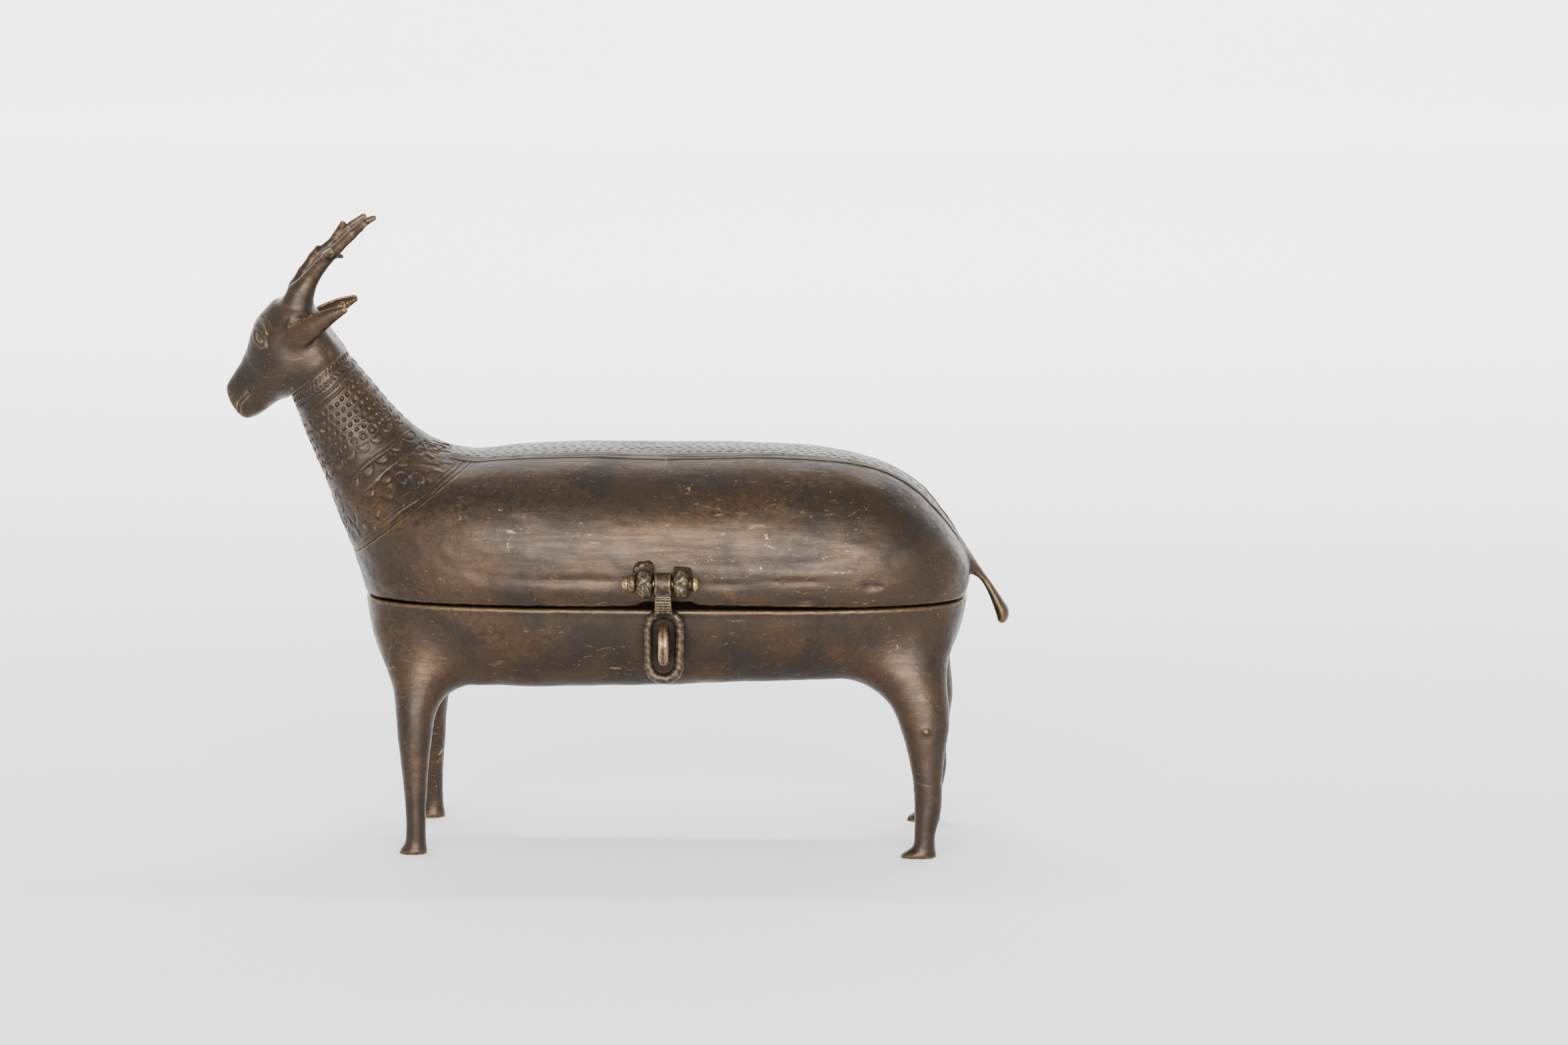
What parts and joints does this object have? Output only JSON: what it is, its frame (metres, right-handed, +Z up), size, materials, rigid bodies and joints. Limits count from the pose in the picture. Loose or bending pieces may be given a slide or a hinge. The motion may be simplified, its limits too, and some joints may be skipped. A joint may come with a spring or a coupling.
{
  "type": "stag-shaped hinged casket",
  "caption": "Cast bronze casket in the form of a standing stag: trough on legs, hinged lid with neck, head, antlers and tail, hasp over a staple.",
  "frame": {"origin": "on the ground under the middle of the object's box: the hoof soles stand on Z = 0", "axes": "+X from the nose to the tail, +Y from the hasp side to the hinge side, +Z up"},
  "size_m": [0.2998, 0.1148, 0.2405],
  "materials": {
    "bronze_patina": "dark brown patina, worn to gold on the high places",
    "bronze_fittings": "darker, rough brown patina",
    "bronze_worn": "handled bronze, rubbed bright"
  },
  "bodies": {
    "box": {"trough": "bronze_patina", "leg_front_left": "bronze_patina", "leg_front_right": "bronze_patina", "leg_rear_left": "bronze_patina", "leg_rear_right": "bronze_patina", "staple": "bronze_worn", "hinge_strap_fore": "bronze_fittings", "hinge_strap_aft": "bronze_fittings"},
    "lid": {"lid_shell": "bronze_patina", "neck": "bronze_patina", "head": "bronze_patina", "antler_left": "bronze_patina", "antler_right": "bronze_patina", "ear_left": "bronze_patina", "ear_right": "bronze_patina", "tail": "bronze_patina", "hasp_lug_fore": "bronze_fittings", "hasp_lug_aft": "bronze_fittings", "hasp_pin": "bronze_worn", "pin_collar": "bronze_fittings", "hinge_fore_lug_a": "bronze_fittings", "hinge_fore_lug_b": "bronze_fittings", "hinge_fore_pin": "bronze_worn", "hinge_aft_lug_a": "bronze_fittings", "hinge_aft_lug_b": "bronze_fittings", "hinge_aft_pin": "bronze_worn"},
    "hasp": {"hasp": "bronze_fittings"}
  },
  "joints": [
    {"name": "lid_opening", "type": "hinge", "parent": "box", "child": "lid", "pos_m": [0.0195, 0.052, 0.09575], "axis": [-1, 0, 0], "range_deg": [0, 100]},
    {"name": "hasp_swing", "type": "hinge", "parent": "lid", "child": "hasp", "pos_m": [0.021, -0.0515, 0.1061], "axis": [-1, 0, 0], "range_deg": [0, 120]}
  ]
}
